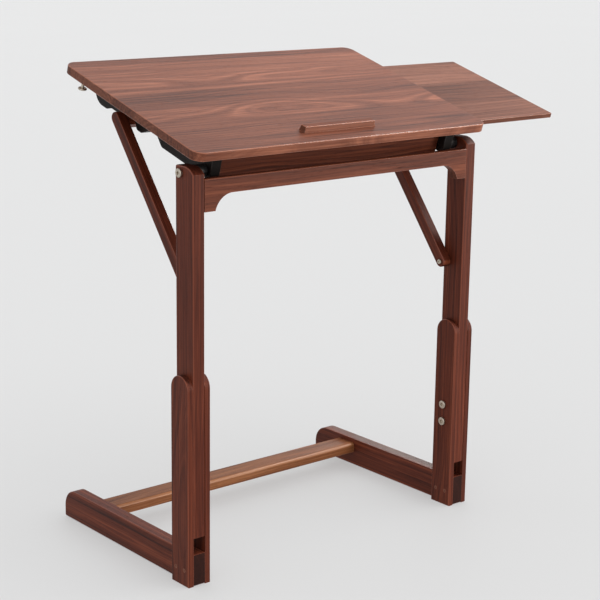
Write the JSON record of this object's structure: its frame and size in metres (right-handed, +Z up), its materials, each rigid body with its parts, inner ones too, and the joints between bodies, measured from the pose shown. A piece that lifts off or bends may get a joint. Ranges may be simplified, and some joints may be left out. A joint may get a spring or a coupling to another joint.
{
  "type": "laptop table",
  "caption": "Free-standing walnut laptop table with height-adjustable legs, a tilting top on notched rails held by a swinging brace, and a pull-out side leaf.",
  "frame": {"origin": "on the floor, in the middle of the footprint box of the table with its leaf out", "axes": "+X to the user's right along the front edge, +Y away from the user, +Z up"},
  "size_m": [0.8186, 0.3932, 0.7773],
  "materials": {
    "walnut": "oiled walnut, satin",
    "golden_walnut": "lighter walnut, satin",
    "black_wood": "black-stained wood, satin",
    "dowel_wood": "end grain walnut",
    "black_plastic": "matte",
    "steel": "nickel-plated",
    "brass": "plain",
    "pad": "matte"
  },
  "bodies": {
    "base": {"left_foot": "walnut", "right_foot": "walnut", "left_outer_cheek": "walnut", "left_inner_cheek": "walnut", "right_inner_cheek": "walnut", "right_outer_cheek": "walnut", "back_stretcher": "golden_walnut", "foot_pads": "pad", "foot_pins": "dowel_wood", "stretcher_dowels": "dowel_wood", "height_bolts": "steel", "height_nuts": "brass"},
    "post_frame": {"left_post": "walnut", "right_post": "walnut", "front_beam": "walnut", "beam_dowels": "dowel_wood", "brace_bolts": "steel", "brace_bolt_nuts": "brass", "brace_washers": "steel"},
    "brace_frame": {"left_brace": "walnut", "right_brace": "walnut", "brace_crossbar": "walnut", "crossbar_dowels": "dowel_wood"},
    "tilting_top": {"table_top": "walnut", "left_rail": "black_wood", "right_rail": "black_wood", "front_apron": "walnut", "rail_screws": "steel", "laptop_stop": "walnut", "hanging_stud": "steel", "front_leaf_guides": "walnut", "back_leaf_guides": "walnut", "rail_dowels": "dowel_wood", "stop_dowels": "dowel_wood", "apron_dowels": "dowel_wood", "stud_insert": "brass", "hinge_bolts": "steel", "hinge_spacers": "black_plastic", "hinge_nuts": "brass"},
    "leaf": {"extension_leaf": "walnut", "leaf_stop_pegs": "dowel_wood"}
  },
  "joints": [
    {"name": "height_slide", "type": "slide", "parent": "base", "child": "post_frame", "axis": [0, 0, 1], "range_m": [-0.022, 0.048]},
    {"name": "top_tilt", "type": "hinge", "parent": "post_frame", "child": "tilting_top", "pos_m": [-0.1063, -0.14541, 0.641], "axis": [1, 0, 0], "range_deg": [0, 25]},
    {"name": "brace_swing", "type": "hinge", "parent": "post_frame", "child": "brace_frame", "pos_m": [-0.1063, -0.14241, 0.437], "axis": [-1, 0, 0], "range_deg": [0, 125]},
    {"name": "leaf_slide", "type": "slide", "parent": "tilting_top", "child": "leaf", "axis": [-1, 0, 0], "range_m": [0, 0.2156]}
  ]
}
